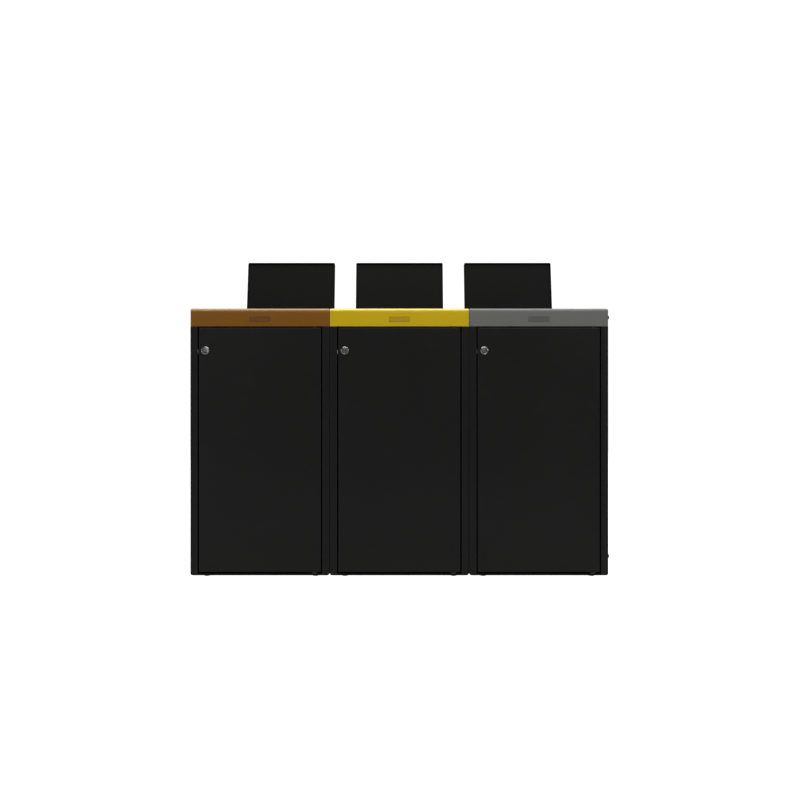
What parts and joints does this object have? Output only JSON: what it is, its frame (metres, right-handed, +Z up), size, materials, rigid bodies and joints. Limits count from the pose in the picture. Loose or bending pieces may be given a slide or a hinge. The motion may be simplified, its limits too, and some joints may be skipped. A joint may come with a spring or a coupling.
{
  "type": "recycling bin station",
  "caption": "Row of lockable recycling cabinets with coloured top covers, flip lids standing open, inset front doors, inner bins and levelling feet.",
  "frame": {"origin": "centre of the overall box at floor level, lids standing open", "axes": "+Z up, +X to the right seen from the front, doors face -Y"},
  "size_m": [1.5036, 0.5954, 1.2719],
  "materials": {
    "black_coat": "fine-textured matte powder coat",
    "brown_coat": "satin powder coat",
    "yellow_coat": "satin powder coat",
    "grey_coat": "satin powder coat",
    "label": "matte",
    "bin_plastic": "moulded matte",
    "lock_chrome": "satin chrome",
    "zinc_steel": "bright zinc plate",
    "galvanised": "galvanised",
    "foot_plastic": "glass-filled nylon",
    "bush_plastic": "nylon",
    "rubber": "matte",
    "black_bolt": "black zinc"
  },
  "bodies": {
    "frame": {"brown_left_side": "black_coat", "brown_right_side": "black_coat", "brown_back_panel": "black_coat", "brown_base_tray": "black_coat", "brown_top_frame": "black_coat", "brown_top_cover": "brown_coat", "brown_inner_bin": "bin_plastic", "yellow_left_side": "black_coat", "yellow_right_side": "black_coat", "yellow_back_panel": "black_coat", "yellow_base_tray": "black_coat", "yellow_top_frame": "black_coat", "yellow_top_cover": "yellow_coat", "yellow_inner_bin": "bin_plastic", "grey_left_side": "black_coat", "grey_right_side": "black_coat", "grey_back_panel": "black_coat", "grey_base_tray": "black_coat", "grey_top_frame": "black_coat", "grey_top_cover": "grey_coat", "grey_inner_bin": "bin_plastic", "chutes": "black_coat", "label_plates": "label", "lid_hinge_bases": "black_coat", "lid_hinge_pins": "zinc_steel", "lock_keepers": "zinc_steel", "levelling_feet": "foot_plastic", "foot_nuts": "zinc_steel", "pivot_bushes": "bush_plastic", "rubber_buffers": "rubber", "bin_guides": "galvanised", "joining_bolts": "black_bolt", "joining_nuts": "zinc_steel"},
    "brown_door": {"brown_door": "black_coat", "brown_door_stiffener": "black_coat", "brown_door_pins": "zinc_steel", "brown_lock_barrel": "lock_chrome"},
    "brown_lock": {"brown_lock_core": "lock_chrome", "brown_lock_cam": "zinc_steel"},
    "brown_lid": {"brown_lid": "black_coat", "brown_lid_liner": "black_coat", "brown_lid_hinge_leaf": "black_coat"},
    "yellow_door": {"yellow_door": "black_coat", "yellow_door_stiffener": "black_coat", "yellow_door_pins": "zinc_steel", "yellow_lock_barrel": "lock_chrome"},
    "yellow_lock": {"yellow_lock_core": "lock_chrome", "yellow_lock_cam": "zinc_steel"},
    "yellow_lid": {"yellow_lid": "black_coat", "yellow_lid_liner": "black_coat", "yellow_lid_hinge_leaf": "black_coat"},
    "grey_door": {"grey_door": "black_coat", "grey_door_stiffener": "black_coat", "grey_door_pins": "zinc_steel", "grey_lock_barrel": "lock_chrome"},
    "grey_lock": {"grey_lock_core": "lock_chrome", "grey_lock_cam": "zinc_steel"},
    "grey_lid": {"grey_lid": "black_coat", "grey_lid_liner": "black_coat", "grey_lid_hinge_leaf": "black_coat"}
  },
  "joints": [
    {"name": "brown_door_swing", "type": "hinge", "parent": "frame", "child": "brown_door", "pos_m": [-0.305, -0.28529, 0.0187], "axis": [0, 0, 1], "range_deg": [0, 110]},
    {"name": "brown_lock_turn", "type": "hinge", "parent": "brown_door", "child": "brown_lock", "pos_m": [-0.6955, -0.29529, 0.8134], "axis": [0, 1, 0], "range_deg": [0, 90]},
    {"name": "brown_lid_flip", "type": "hinge", "parent": "frame", "child": "brown_lid", "pos_m": [-0.5, 0.24971, 0.972], "axis": [1, 0, 0], "range_deg": [0, 96.7]},
    {"name": "yellow_door_swing", "type": "hinge", "parent": "frame", "child": "yellow_door", "pos_m": [0.195, -0.28529, 0.0187], "axis": [0, 0, 1], "range_deg": [0, 110]},
    {"name": "yellow_lock_turn", "type": "hinge", "parent": "yellow_door", "child": "yellow_lock", "pos_m": [-0.1955, -0.29529, 0.8134], "axis": [0, 1, 0], "range_deg": [0, 90]},
    {"name": "yellow_lid_flip", "type": "hinge", "parent": "frame", "child": "yellow_lid", "pos_m": [0, 0.24971, 0.972], "axis": [1, 0, 0], "range_deg": [0, 96.7]},
    {"name": "grey_door_swing", "type": "hinge", "parent": "frame", "child": "grey_door", "pos_m": [0.695, -0.28529, 0.0187], "axis": [0, 0, 1], "range_deg": [0, 110]},
    {"name": "grey_lock_turn", "type": "hinge", "parent": "grey_door", "child": "grey_lock", "pos_m": [0.3045, -0.29529, 0.8134], "axis": [0, 1, 0], "range_deg": [0, 90]},
    {"name": "grey_lid_flip", "type": "hinge", "parent": "frame", "child": "grey_lid", "pos_m": [0.5, 0.24971, 0.972], "axis": [1, 0, 0], "range_deg": [0, 96.7]}
  ]
}
